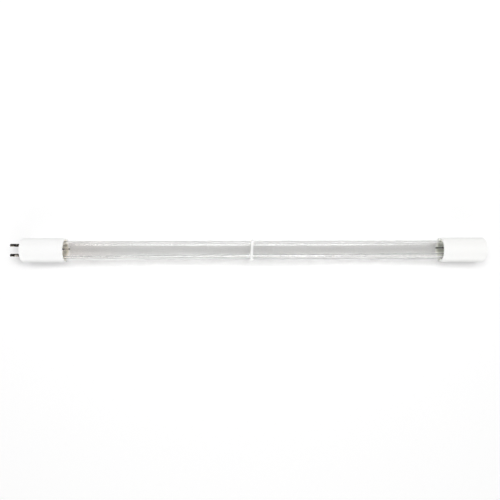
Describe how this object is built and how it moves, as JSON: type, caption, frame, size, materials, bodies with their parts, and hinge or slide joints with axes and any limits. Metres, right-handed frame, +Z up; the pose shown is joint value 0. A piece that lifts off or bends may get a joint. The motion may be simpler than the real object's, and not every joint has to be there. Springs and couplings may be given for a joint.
{
  "type": "germicidal lamp tube",
  "caption": "Straight clear quartz germicidal lamp between two white ceramic caps, with contact pins on the base cap, return wires outside the tube and a ring at mid-length.",
  "frame": {"origin": "centre of the base cap's outer face, where the contact pins come out", "axes": "+X along the tube from the base cap to the blank end cap, so the pins point along -X; +Z up, towards the side that the return wires lie on; +Y across the pins' wider spacing"},
  "size_m": [0.3783, 0.0194, 0.0194],
  "materials": {
    "ceramic_cap": "fine satin steatite",
    "quartz": "clear fused quartz with faint draw lines",
    "pin_metal": "dull nickelled brass, darkened",
    "cement": "rough beige basing cement",
    "coil": "dark tungsten with emitter coating",
    "lead": "drawn molybdenum and nickel wire",
    "foil": "etched molybdenum foil",
    "splice": "nickelled crimp sleeve",
    "sleeve": "clear fluoropolymer sleeving",
    "ring": "white ceramic ring",
    "mercury": "liquid mercury"
  },
  "bodies": {
    "root": {"base_cap": "ceramic_cap", "end_cap": "ceramic_cap", "quartz_tube": "quartz", "contact_pin_1": "pin_metal", "contact_pin_2": "pin_metal", "contact_pin_3": "pin_metal", "contact_pin_4": "pin_metal", "base_cement": "cement", "end_cement": "cement", "base_filament": "coil", "end_filament": "coil", "base_inner_lead_a": "lead", "base_inner_lead_b": "lead", "end_inner_lead_a": "lead", "end_inner_lead_b": "lead", "base_foil_a": "foil", "base_foil_b": "foil", "end_foil_a": "foil", "end_foil_b": "foil", "base_outer_lead_a": "lead", "base_outer_lead_b": "lead", "end_outer_lead_a": "lead", "end_outer_lead_b": "lead", "end_splice_a": "splice", "end_splice_b": "splice", "return_wire_a": "lead", "return_wire_b": "lead", "return_sleeve_a": "sleeve", "return_sleeve_b": "sleeve", "middle_ring": "ring", "mercury_bead": "mercury"}
  },
  "joints": []
}
